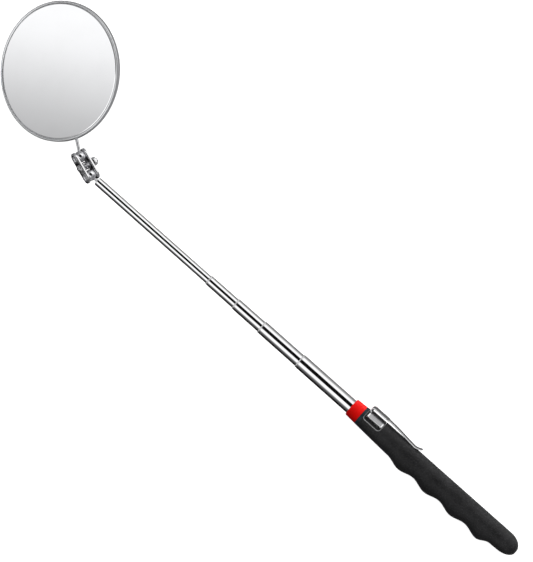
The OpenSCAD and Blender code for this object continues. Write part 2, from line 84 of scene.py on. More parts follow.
class Reading:
    """A number that changes over a surface, with Python's arithmetic on it."""

    def __init__(self, recipe: "Recipe", socket: bpy.types.NodeSocket) -> None:
        """Wraps a socket.

        Args:
            recipe: The node tree that the socket belongs to.
            socket: The output that gives the number.
        """
        self.recipe = recipe
        self.socket = socket

    def math(self, operation: str, *operands: Any, clamp: bool = False) -> "Reading":
        """Adds one Math node.

        Args:
            operation: The Math node's operation.
            operands: Its inputs in order, as readings or numbers.
            clamp: Whether the result is kept between 0 and 1.

        Returns:
            The result as a new reading.
        """
        settings = {"operation": operation, "use_clamp": clamp}
        return self.recipe.node("ShaderNodeMath", settings, dict(enumerate(operands))).out(0)

    def __add__(self, other: Any) -> "Reading":
        """Adds."""
        return self.math("ADD", self, other)

    def __radd__(self, other: Any) -> "Reading":
        """Adds, reflected."""
        return self.math("ADD", other, self)

    def __sub__(self, other: Any) -> "Reading":
        """Subtracts."""
        return self.math("SUBTRACT", self, other)

    def __rsub__(self, other: Any) -> "Reading":
        """Subtracts, reflected."""
        return self.math("SUBTRACT", other, self)

    def __mul__(self, other: Any) -> "Reading":
        """Multiplies."""
        return self.math("MULTIPLY", self, other)

    def __rmul__(self, other: Any) -> "Reading":
        """Multiplies, reflected."""
        return self.math("MULTIPLY", other, self)

    def __truediv__(self, other: Any) -> "Reading":
        """Divides."""
        return self.math("DIVIDE", self, other)

    def __rtruediv__(self, other: Any) -> "Reading":
        """Divides, reflected."""
        return self.math("DIVIDE", other, self)

    def rise(self, low: float, high: float) -> "Reading":
        """Gives 0 below low and 1 above high, and a straight rise between them."""
        return self.math("MULTIPLY", self - low, 1.0 / (high - low), clamp=True)


class Made:
    """A node that has been made, with its outputs."""

    def __init__(self, recipe: "Recipe", node: bpy.types.Node) -> None:
        """Wraps a node of a recipe."""
        self.recipe = recipe
        self.node = node

    def out(self, key: int | str = 0) -> Reading:
        """Gives one of the node's outputs as a reading."""
        return Reading(self.recipe, self.node.outputs[key])


class Recipe:
    """One material's or the world's node tree."""

    def __init__(self, tree: bpy.types.NodeTree) -> None:
        """Empties a node tree and takes it over."""
        self.tree = tree
        tree.nodes.clear()

    def node(self, kind: str, settings: dict[str, Any] | None = None, values: dict[Any, Any] | None = None) -> Made:
        """Makes any node.

        Args:
            kind: The node's type.
            settings: Its properties, which are set first; "stops" fills a colour ramp.
            values: A number, colour or reading for each of its inputs, by name or position.

        Returns:
            The node, with its outputs.
        """
        made = self.tree.nodes.new(kind)
        for name, value in (settings or {}).items():
            if name == "stops":
                self._fill_ramp(made.color_ramp, value)
            else:
                setattr(made, name, value)
        for key, value in (values or {}).items():
            if isinstance(value, Reading):
                self.tree.links.new(value.socket, made.inputs[key])
            else:
                made.inputs[key].default_value = value
        return Made(self, made)

    @staticmethod
    def _fill_ramp(ramp: bpy.types.ColorRamp, stops: Sequence[tuple[float, Sequence[float]]]) -> None:
        """Sets a colour ramp's stops.

        Args:
            ramp: The ramp.
            stops: The place and the colour of each stop.
        """
        while len(ramp.elements) < len(stops):
            ramp.elements.new(1.0)
        for element, (place, colour) in zip(ramp.elements, stops):
            element.position = place
            element.color = (*colour, 1.0)

    def coordinates(self) -> Reading:
        """Gives the Object coordinates, in metres."""
        return self.node("ShaderNodeTexCoord").out("Object")

    def mark(self, name: str) -> Reading:
        """Gives a number that a piece carries on its own points."""
        return self.node("ShaderNodeAttribute", {"attribute_name": name}).out("Fac")

    def axes(self, vector: Reading) -> tuple[Reading, Reading, Reading]:
        """Splits a vector into its three numbers."""
        parts = self.node("ShaderNodeSeparateXYZ", None, {0: vector})
        return parts.out(0), parts.out(1), parts.out(2)

    def stretched(self, vector: Reading, scale: Sequence[float]) -> Reading:
        """Scales a vector by a factor along each axis."""
        return self.node("ShaderNodeMapping", None, {"Vector": vector, "Scale": scale}).out(0)

    def noise(self, vector: Reading, scale: float, detail: float = 2.0) -> Reading:
        """Gives soft noise from 0 to 1, with scale features to a metre."""
        values = {"Vector": vector, "Scale": scale, "Detail": detail}
        return self.node("ShaderNodeTexNoise", None, values).out(0)

    def shades(self, amount: Reading, low: Any, high: Any) -> Reading:
        """Mixes two colours, each a reading or three numbers, by a number from 0 to 1."""
        low, high = (end if isinstance(end, Reading) else (*end, 1.0) for end in (low, high))
        return self.node("ShaderNodeMix", {"data_type": "RGBA"}, {0: amount, 6: low, 7: high}).out(2)

    def bump(self, height: Reading, depth: float) -> Reading:
        """Turns a height from 0 to 1 into a normal, with depth in metres."""
        values = {"Height": height, "Distance": depth, "Strength": 1.0}
        return self.node("ShaderNodeBump", None, values).out(0)

    def surface(self, values: dict[str, Any]) -> None:
        """Ends a material with a Principled shader."""
        shader = self.node("ShaderNodeBsdfPrincipled", None, values)
        self.node("ShaderNodeOutputMaterial", None, {0: shader.out()})


def new_material(name: str) -> tuple[bpy.types.Material, Recipe]:
    """Starts a material.

    Args:
        name: Its name.

    Returns:
        The material and its empty node tree.
    """
    material = bpy.data.materials.new(name)
    material.use_nodes = True
    return material, Recipe(material.node_tree)


def placed(name: str, data: bpy.types.ID) -> bpy.types.Object:
    """Makes an object and puts it into the scene.

    Args:
        name: Its name.
        data: Its mesh or camera.

    Returns:
        The object.
    """
    made = bpy.data.objects.new(name, data)
    bpy.context.scene.collection.objects.link(made)
    return made


@dataclass(frozen=True)
class Finish:
    """What every finish has: the material slot that it dresses."""

    slot: str

    def material(self) -> bpy.types.Material:
        """Makes the finish's material."""
        raise NotImplementedError


@dataclass(frozen=True)
class Metal(Finish):
    """Plated or bare metal, with fine marks and a slightly uneven polish."""

    tint: tuple[float, float, float]
    wear_and_painted_highlight_tint: tuple[float, float, float]
    polish: float
    dullness: float
    mark_scale: tuple[float, float, float] = (1.0, 1.0, 1.0)
    marks: float = 900.0
    mark_depth: float = 0.6e-6
    cloud: float = 60.0
    # The painted light tint of satin-marked parts: darker on the clip, a painted shade, brighter on the tubes' beads, a
    # painted highlight.
    painted_light_tint: tuple[float, float, float] = (0.9, 0.9, 0.9)
    satin: float = 0.0

    def material(self) -> bpy.types.Material:
        """Makes the metal: marks raise the roughness and the bump, and clouds move the tint.

        Where a piece carries a satin mark, the roughness goes over to the satin one and the tint to the painted
        light tint, which paints the clip's satin faces darker and the tubes' beads brighter.

        Returns:
            The material.
        """
        material, recipe = new_material(self.slot)
        place = recipe.coordinates()
        marks = recipe.noise(recipe.stretched(place, self.mark_scale), self.marks, 3.0)
        clouds = recipe.noise(place, self.cloud, 2.0)
        rough = self.polish + self.dullness * (marks.rise(0.45, 0.75) * 0.6 + clouds.rise(0.35, 0.7) * 0.4)
        colour = recipe.shades(clouds.rise(0.3, 0.7), self.tint, self.wear_and_painted_highlight_tint)
        if self.satin:
            satin = recipe.mark(SATIN_AND_PAINTED_LIGHT)
            # Painted light: the satin mark swaps the tint for a painted shade on the clip and a painted highlight on
            # the tubes' beads.
            colour = recipe.shades(satin, colour, self.painted_light_tint)
            rough = rough + satin * (self.satin - self.polish)
        recipe.surface(
            {
                "Base Color": colour,
                "Metallic": 1.0,
                "Roughness": rough,
                "Normal": recipe.bump(marks, self.mark_depth),
            }
        )
        return material


@dataclass(frozen=True)
class Rubber(Finish):
    """Matte rubber with a fine moulded grain and paler specks, smooth in a strip behind the collar."""

    tint: tuple[float, float, float]
    speck_tint: tuple[float, float, float]
    strip_tint: tuple[float, float, float]
    # The colour of the painted highlight on the recess's border.
    wear_and_painted_highlight_tint: tuple[float, float, float]
    strip_x: tuple[float, float]
    roughness: float = 0.50
    grain: float = 1500.0
    specks: float = 2600.0
    grain_depth: float = 70e-6
    gloss: float = 0.2
    sheen: float = 0.12

    def material(self) -> bpy.types.Material:
        """Makes the rubber: noise gives the grain and its specks, and the place along X the strip.

        Where the grip carries its highlight mark, round the recess, the rubber is painted paler: a painted
        highlight along the recess's edge.

        Returns:
            The material.
        """
        material, recipe = new_material(self.slot)
        place = recipe.coordinates()
        along = recipe.axes(place)[0]
        blur = 0.1 * MM
        strip = along.rise(self.strip_x[0] - blur, self.strip_x[0]) * (
            1.0 - along.rise(self.strip_x[1], self.strip_x[1] + blur)
        )
        grain = recipe.noise(place, self.grain, 3.0)
        specks = recipe.noise(place, self.specks, 1.0).rise(0.54, 0.74)
        wear = recipe.noise(place, 95.0, 3.0)
        body = recipe.shades(specks * 0.8 + wear.rise(0.4, 0.8) * 0.2, self.tint, self.speck_tint)
        # Painted highlight: the grip's mark paints the rubber paler along the recess's border.
        body = recipe.shades(recipe.mark(PAINTED_HIGHLIGHT), body, self.wear_and_painted_highlight_tint)
        height = (grain * 0.7 + specks * 0.3) * (1.0 - strip * 0.9)
        recipe.surface(
            {
                "Base Color": recipe.shades(strip, body, self.strip_tint),
                "Roughness": self.roughness - strip * 0.14 + wear.rise(0.3, 0.8) * 0.06 - specks * 0.08,
                "Specular IOR Level": self.gloss,
                "Sheen Weight": self.sheen,
                "Sheen Roughness": 0.35,
                "Normal": recipe.bump(height, self.grain_depth),
            }
        )
        return material


@dataclass(frozen=True)
class Moulded(Finish):
    """Moulded plastic, glossy or matte, with faint flow clouds."""

    tint: tuple[float, float, float]
    deep_tint: tuple[float, float, float]
    roughness: float
    coat: float = 0.0
    gloss: float = 0.5
    texture: float = 700.0
    texture_depth: float = 4e-6

    def material(self) -> bpy.types.Material:
        """Makes the plastic: slow noise moves the tint and roughness, and fine noise the bump.

        Returns:
            The material.
        """
        material, recipe = new_material(self.slot)
        place = recipe.coordinates()
        clouds = recipe.noise(place, 120.0, 2.0).rise(0.35, 0.7)
        fine = recipe.noise(place, self.texture, 2.0)
        recipe.surface(
            {
                "Base Color": recipe.shades(clouds, self.tint, self.deep_tint),
                "Roughness": self.roughness + clouds * 0.05 + fine * 0.04,
                "Specular IOR Level": self.gloss,
                "Coat Weight": self.coat,
                "Coat Roughness": 0.08,
                "Normal": recipe.bump(fine, self.texture_depth),
            }
        )
        return material


@dataclass(frozen=True)
class Silvered(Finish):
    """Silvered glass: a nearly perfect mirror under a clear layer, with a breath of dust."""

    tint: tuple[float, float, float]
    dust_tint: tuple[float, float, float]

    def material(self) -> bpy.types.Material:
        """Makes the mirror: faint noise dulls it a little.

        Returns:
            The material.
        """
        material, recipe = new_material(self.slot)
        place = recipe.coordinates()
        dust = recipe.noise(place, 45.0, 4.0).rise(0.45, 0.85)
        recipe.surface(
            {
                "Base Color": recipe.shades(dust, self.tint, self.dust_tint),
                "Metallic": 1.0,
                "Roughness": 0.012 + dust * 0.03,
                "Coat Weight": 0.35,
                "Coat Roughness": 0.01,
            }
        )
        return material


class Wardrobe:
    """Every finish of the tool, made once and handed out by slot."""

    def __init__(self, finishes: Sequence[Finish]) -> None:
        """Makes the materials.

        Args:
            finishes: The finish of each slot.
        """
        self.materials = {finish.slot: finish.material() for finish in finishes}

    def dress(self, piece: bpy.types.Object, slot: str) -> None:
        """Gives a piece the material of a slot."""
        piece.data.materials.clear()
        piece.data.materials.append(self.materials[slot])


# ---- shapes ----


def rotation(axis: str, degrees: float) -> Matrix:
    """Gives a turn about one axis, in degrees."""
    return Matrix.Rotation(np.radians(degrees), 4, axis)


def shift(x: float, y: float = 0.0, z: float = 0.0) -> Matrix:
    """Gives a move, in millimetres."""
    return Matrix.Translation(Vector((x, y, z)) * MM)


def smooth(t: np.ndarray) -> np.ndarray:
    """Gives the smooth step 3t^2 - 2t^3 of values cut off at 0 and 1."""
    t = np.clip(t, 0.0, 1.0)
    return t * t * (3 - 2 * t)


def ease(t: np.ndarray) -> np.ndarray:
    """Gives half a cosine wave from 0 to 1."""
    return (1 - np.cos(np.pi * t)) / 2


def arc(centre: tuple[float, float], radius: float, start: float, end: float, count: int = 8) -> np.ndarray:
    """Gives points of a circular arc: centre plus radius times (cos, sin) of evenly spaced angles.

    Args:
        centre: The arc's centre.
        radius: Its radius.
        start: The first angle, in degrees.
        end: The last angle, in degrees.
        count: How many points it has.

    Returns:
        The points, one to a row.
    """
    angle = np.radians(np.linspace(start, end, count))
    return np.stack([centre[0] + radius * np.cos(angle), centre[1] + radius * np.sin(angle)], axis=1)


def rounded_corners(outline: Sequence[tuple[float, float, float]], count: int = 6) -> np.ndarray:
    """Rounds the corners of a closed outline.

    Each corner (x, y, r) becomes a quadratic curve between the two points that lie r along its sides:
    (1 - t)^2 a + 2t(1 - t) corner + t^2 b.

    Args:
        outline: The corners, with how far each rounding reaches.
        count: How many points a rounded corner has.

    Returns:
        The outline's points, one to a row.
    """
    corners = np.array(outline, float)
    points, reach = corners[:, :2], corners[:, 2:]
    before = np.roll(points, 1, axis=0) - points
    after = np.roll(points, -1, axis=0) - points
    a = points + before / np.linalg.norm(before, axis=1, keepdims=True) * reach
    b = points + after / np.linalg.norm(after, axis=1, keepdims=True) * reach
    t = np.linspace(0, 1, count)[None, :, None]
    curve = (1 - t) ** 2 * a[:, None] + 2 * t * (1 - t) * points[:, None] + t**2 * b[:, None]
    return curve.reshape(-1, 2)


def turned(profile: np.ndarray, sides: int) -> np.ndarray:
    """Spins an outline about the X axis: each point (x, r) becomes (x, r cos a, r sin a).

    Args:
        profile: The outline's points (x, r), in millimetres.
        sides: How many steps the circle has.

    Returns:
        A grid of points, rows by sides by 3.
    """
    angle = np.arange(sides) * TURN / sides
    x = np.repeat(profile[:, :1], sides, axis=1)
    return np.stack([x, profile[:, 1:] * np.cos(angle), profile[:, 1:] * np.sin(angle)], axis=2)


def carried(path: np.ndarray, sideways: np.ndarray, upright: np.ndarray, sections: np.ndarray) -> np.ndarray:
    """Carries a flat section along a path: point = path + sideways s + upright t.

    Args:
        path: The path's points.
        sideways: The direction of the section's first number at each of them.
        upright: The direction of its second number at each of them.
        sections: The section (s, t) at each of them.

    Returns:
        A grid of points, path points by section points by 3.
    """
    s, t = sections[..., :1], sections[..., 1:]
    return path[:, None] + sideways[:, None] * s + upright[:, None] * t


class Ends(Enum):
    """What closes a grid whose columns go round."""

    JOINED = "the last row meets the first"
    CAPPED = "a flat face at each end"
    POINTED = "each end row is one point"


def grid_faces(rows: int, columns: int, ends: Ends) -> list[list[int]]:
    """Lists the quads of a grid whose columns go round, and its end faces.

    Args:
        rows: How many rows the grid has.
        columns: How many columns it has.
        ends: What closes it.

    Returns:
        The faces, as lists of vertex numbers.
    """
    last = rows if ends is Ends.JOINED else rows - 1
    i = (np.arange(last) * columns)[:, None]
    below = (np.arange(1, last + 1) % rows * columns)[:, None]
    j = np.arange(columns)[None]
    right = (j + 1) % columns
    faces = np.stack([i + j, i + right, below + right, below + j], axis=2).reshape(-1, 4).tolist()
    if ends is Ends.CAPPED:
        faces += [list(range(columns))[::-1], list(range((rows - 1) * columns, rows * columns))]
    return faces


class Workshop:
    """Makes pieces from grids, dresses them and fixes them to the model's bodies."""

    pole_gap = 1e-7
    weld_gap = 1e-6
    flat_angle = 0.4
    sharp_angle = 35.0

    def __init__(self, wardrobe: Wardrobe, frame: dict[str, Any]) -> None:
        """Sets the workshop up.

        Args:
            wardrobe: The finishes.
            frame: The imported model.
        """
        self.wardrobe = wardrobe
        self.nodes = frame["nodes"]

    def piece(
        self,
        name: str,
        body: str,
        slot: str,
        stands_for: Sequence[str],
        grids: Sequence[tuple[np.ndarray, Ends]],
        place: Matrix = Matrix.Identity(4),
        crease: float = 32.0,
        marks: dict[str, np.ndarray] | None = None,
    ) -> bpy.types.Object:
        """Makes one piece out of closed grids.

        Args:
            name: The piece's name.
            body: The body that it rides on.
            slot: The material slot that it takes its finish from.
            stands_for: The nodes that it replaces.
            grids: The grids of points, in millimetres, and what closes each.
            place: Where the grids' own frame lies.
            crease: The angle between faces, in degrees, above which an edge stays sharp.
            marks: Numbers that the points carry for the finish, in the grids' order.

        Returns:
            The piece.
        """
        points, faces, count = [], [], 0
        for grid, ends in grids:
            rows, columns = grid.shape[:2]
            points.append(grid.reshape(-1, 3) * MM)
            faces += [[v + count for v in face] for face in grid_faces(rows, columns, ends)]
            count += rows * columns
        mesh = bpy.data.meshes.new(name)
        mesh.from_pydata(np.concatenate(points).tolist(), [], faces)
        mesh.transform(place)
        for mark, numbers in (marks or {}).items():
            mesh.attributes.new(mark, "FLOAT", "POINT").data.foreach_set("value", numbers.ravel())
        self._close(mesh)
        return self._fit(mesh, body, slot, stands_for, crease)

    def _fit(
        self, mesh: bpy.types.Mesh, body: str, slot: str, stands_for: Sequence[str], crease: float
    ) -> bpy.types.Object:
        """Makes a mesh a piece: shades, dresses and fixes it.

        Args:
            mesh: The piece's mesh, which has its name.
            body: The body that it rides on.
            slot: The material slot that it takes its finish from.
            stands_for: The nodes that it replaces.
            crease: The angle between faces, in degrees, above which an edge stays sharp.

        Returns:
            The piece.
        """
        mesh.shade_smooth()
        mesh.set_sharp_from_angle(angle=np.radians(crease))
        made = placed(mesh.name, mesh)
        self.wardrobe.dress(made, slot)
        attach(made, body)
        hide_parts(*stands_for)
        LOG.info("%s rides on %s, %d faces", made.name, body, len(mesh.polygons))
        return made

    def _close(self, mesh: bpy.types.Mesh) -> None:
        """Merges a mesh's doubled points, which closes its poles, and faces it outwards.

        Args:
            mesh: The mesh.
        """
        shell = bmesh.new()
        shell.from_mesh(mesh)
        bmesh.ops.remove_doubles(shell, verts=shell.verts, dist=self.pole_gap)
        bmesh.ops.recalc_face_normals(shell, faces=shell.faces)
        shell.to_mesh(mesh)
        shell.free()

    def keep(self, nodes: dict[str, str]) -> None:
        """Dresses nodes that keep their own mesh.

        Args:
            nodes: The slot of each node.
        """
        for name, slot in nodes.items():
            self.wardrobe.dress(self.nodes[name], slot)
            LOG.info("%s keeps its mesh", name)

    def softened(self, node: str, name: str, body: str, slot: str, width: float) -> bpy.types.Object:
        """Makes a copy of a node with small rounded edges in place of its sharp ones.

        Args:
            node: The node that it copies and replaces.
            name: The piece's name.
            body: The body that it rides on.
            slot: The material slot that it takes its finish from.
            width: How wide the rounding of an edge is, in millimetres.

        Returns:
            The piece.
        """
        shell = bmesh.new()
        shell.from_mesh(self.nodes[node].data)
        bmesh.ops.remove_doubles(shell, verts=shell.verts, dist=self.weld_gap)
        flat, limit = np.radians(self.flat_angle), np.radians(self.sharp_angle)
        bmesh.ops.dissolve_limit(shell, angle_limit=flat, verts=shell.verts, edges=shell.edges)
        sharp = [e for e in shell.edges if e.is_manifold and e.calc_face_angle(0.0) > limit]
        bmesh.ops.bevel(
            shell, geom=sharp, offset=width * MM, offset_type="OFFSET", segments=2, profile=0.5,
            affect="EDGES", clamp_overlap=True,
        )
        bmesh.ops.triangulate(shell, faces=shell.faces)
        mesh = bpy.data.meshes.new(name)
        shell.to_mesh(mesh)
        shell.free()
        return self._fit(mesh, body, slot, [node], 40.0)


# ---- sub-assemblies, sizes in millimetres ----


@dataclass
class Grip:
    """The rubber grip, its core and the collar; -Y is the clip's side and +Y the finger ridges'."""

    length: float = 125.2
    collar_len: float = 7.8
    core_r: float = 5.25
    upper_wall: float = 2.1
    nose_wall: float = 1.1
    nose_run: float = 8.0
    ridge_pitch: float = 20.9
    ridge_start: float = 24.2
    ridge_count: int = 4
    ridge_wall: float = 4.7
    groove_wall: float = 2.35
    tail_run: float = 8.5
    tail_wall: float = 1.05
    butt_wall: float = 0.55
    butt_round: float = 10.0
    butt_fill: float = 9.5
    butt_power: float = 2.2
    butt_from: float = 0.226
    core_taper: float = 6.0
    core_end_r: float = 4.25
    recess_r: float = 6.4
    recess_half: float = 79.0
    recess_x: tuple[float, float] = (-22.7, -9.7)
    recess_round: float = 2.0
    edge: float = 0.12
    border: float = 0.45
    butt_rings: int = 22
    body_rings: int = 230
    sides: int = 144
    nose_r: float = 5.15
    collar_r: float = 6.3
    front_r: float = 5.95
    face_r: float = 5.5
    bore_r: float = 4.59
    lip_len: float = 1.5
    collar_sides: int = 128

    @property
    def butt_x(self) -> float:
        """Gives the place of the butt along X."""
        return -self.collar_len - self.length

    def ridge_side(self, d: np.ndarray) -> np.ndarray:
        """Gives the radius towards the ridges at distances d from the butt.

        It is a straight butt, a cosine rise to the first ridge, cosine waves between ridges and
        grooves, and a straight run to the collar.

        Args:
            d: The distances.

        Returns:
            The radius at each of them.
        """
        last_groove = self.ridge_start + (self.ridge_count - 0.5) * self.ridge_pitch
        tail_x = self.ridge_start - self.tail_run
        butt = self.butt_wall + (self.tail_wall - self.butt_wall) * d / tail_x
        rise = self.tail_wall + (self.ridge_wall - self.tail_wall) * ease((d - tail_x) / self.tail_run)
        wave = (1 + np.cos(TURN * (d - self.ridge_start) / self.ridge_pitch)) / 2
        waves = self.groove_wall + (self.ridge_wall - self.groove_wall) * wave
        run = (d - last_groove) / (self.length - last_groove)
        straight = self.groove_wall + (self.nose_wall - self.groove_wall) * run
        places = [d < tail_x, d < self.ridge_start, d < last_groove]
        return self.core_r + np.select(places, [butt, rise, waves], straight)

    def clip_side(self, d: np.ndarray) -> np.ndarray:
        """Gives the radius towards the clip and across: straight, then narrowing to the collar."""
        t = np.clip((d - self.length + self.nose_run) / self.nose_run, 0, 1)
        return self.core_r + self.upper_wall + (self.nose_wall - self.upper_wall) * t

    def stations(self) -> np.ndarray:
        """Gives the distances of the rings from the butt, close together at the butt and the recess.

        Returns:
            The distances, from the butt to the collar.
        """
        butt = self.butt_round * (1 - np.cos(np.linspace(self.butt_from, np.pi / 2, self.butt_rings)))
        body = np.linspace(self.butt_round, self.length, self.body_rings)[1:]
        near = np.concatenate([[-0.6, -0.35], np.linspace(-self.edge, self.recess_round, 24)])
        walls = (np.array(self.recess_x)[:, None] - self.butt_x + near * [[1], [-1]]).ravel()
        return np.unique(np.concatenate([butt, body, walls]).round(4))

    def angles(self) -> np.ndarray:
        """Gives the angles of the columns from the +Z side, with extra ones at the recess's edges.

        Returns:
            The angles, once round.
        """
        even = np.arange(self.sides) * 360 / self.sides
        near = np.concatenate([[-4.0, -2.5], np.linspace(-1.0, np.degrees(self.recess_round / self.core_r), 20)])
        edges = (np.array([[90 - self.recess_half], [90 + self.recess_half]]) + near * [[1], [-1]]).ravel()
        return np.radians(np.unique(np.concatenate([even, edges % 360]).round(3)))

    def in_recess(self, x: np.ndarray, a: np.ndarray, blur: float) -> np.ndarray:
        """Gives how far points lie in the recess, from 0 to 1, by a smooth step at its edge.

        Seen unrolled, the recess is a rectangle with rounded corners, whose distance is
        |max(|p| - half + round, 0)| - round.

        Args:
            x: The points' places along X.
            a: Their angles from +Z towards the clip.
            blur: Half the step's width, in millimetres.

        Returns:
            A number for each point.
        """
        back, front = self.recess_x
        radius = self.core_r + self.upper_wall
        along = np.abs(x - (back + front) / 2) - (front - back) / 2 + self.recess_round
        turn = np.radians(self.recess_half - np.abs(np.degrees(a) - 90)) * radius
        across = self.recess_round - turn
        away = np.hypot(np.maximum(along, 0), np.maximum(across, 0)) - self.recess_round
        return smooth((blur - away) / (2 * blur))

    def skin(self) -> tuple[np.ndarray, np.ndarray]:
        """Gives the grip's grid and how much painted highlight each of its points takes.

        Each ring is two half ellipses, the clip's half round and the ridges' half as deep as they are.
        The butt takes every radius in by (1 - (1 - d / round)^power)^0.5, and the recess takes the
        clip's half down to its floor. The last rings line the hollow that holds the core. The highlight
        mark 4m(1 - m) is 1 on the recess's border, where a wide step m is half way; there the rubber is
        painted paler, a painted highlight.

        Returns:
            The grid and the mark.
        """
        d, a = self.stations()[:, None], self.angles()[None]
        share = np.sqrt(1 - np.clip(1 - d / self.butt_round, 0, 1) ** self.butt_power)
        across = self.clip_side(d) * share
        depth = np.where(np.sin(a) > 0, across, self.ridge_side(d) * share)
        y, z = depth * np.sin(a), across * np.cos(a)
        x = self.butt_x + d + 0 * a
        radius = np.maximum(np.hypot(y, z), self.recess_r)
        dent = 1 - self.in_recess(x, a, self.edge) * (1 - self.recess_r / radius)
        border = self.in_recess(x, a, self.border)
        outside = np.stack([x, -y * dent, z * dent], axis=2)
        pole = outside[:1] * (1.0, 0.0, 0.0)
        end = self.butt_x + self.butt_fill
        mouth, taper = (-self.collar_len, self.core_r), (end + self.core_taper, self.core_r)
        along, out = np.hsplit(np.array([mouth, taper, (end, self.core_end_r), (end, 0.0)]), 2)
        inside = np.stack([along + 0 * a, -out * np.sin(a), out * np.cos(a)], axis=2)
        # Painted highlight along the recess's border, 4m(1 - m) of the wide step.
        worn = np.concatenate([0 * pole[..., 0], 4 * border * (1 - border), 0 * inside[..., 0]])
        return np.concatenate([pole, outside, inside]), worn

    def collar(self) -> np.ndarray:
        """Gives the collar's grid, a rounded outline (x, r, rounding) spun about X.

        Returns:
            The grid.
        """
        back, lip, tight, shoulder = -self.collar_len, -self.lip_len, 0.02, 0.35
        outline = [
            (back, self.nose_r, tight), (back, self.collar_r, 0.25), (-shoulder, self.front_r, shoulder),
            (0.0, self.face_r, 0.2), (0.0, self.bore_r, tight), (lip, self.bore_r, tight), (lip, self.nose_r, tight),
        ]
        return turned(rounded_corners(outline), self.collar_sides)

    def build(self, shop: Workshop) -> None:
        """Makes the grip and the collar and dresses the core.

        Args:
            shop: Where pieces are made.
        """
        skin, worn = self.skin()
        grids, marks = [(skin, Ends.POINTED)], {PAINTED_HIGHLIGHT: worn}
        shop.piece("grip_skin", "handle", "soft_rubber", ["rubber_grip"], grids, crease=50, marks=marks)
        shop.piece("collar_ring", "handle", "red_plastic", ["collar"], [(self.collar(), Ends.JOINED)])
        shop.keep({"grip_core": "black_plastic"})


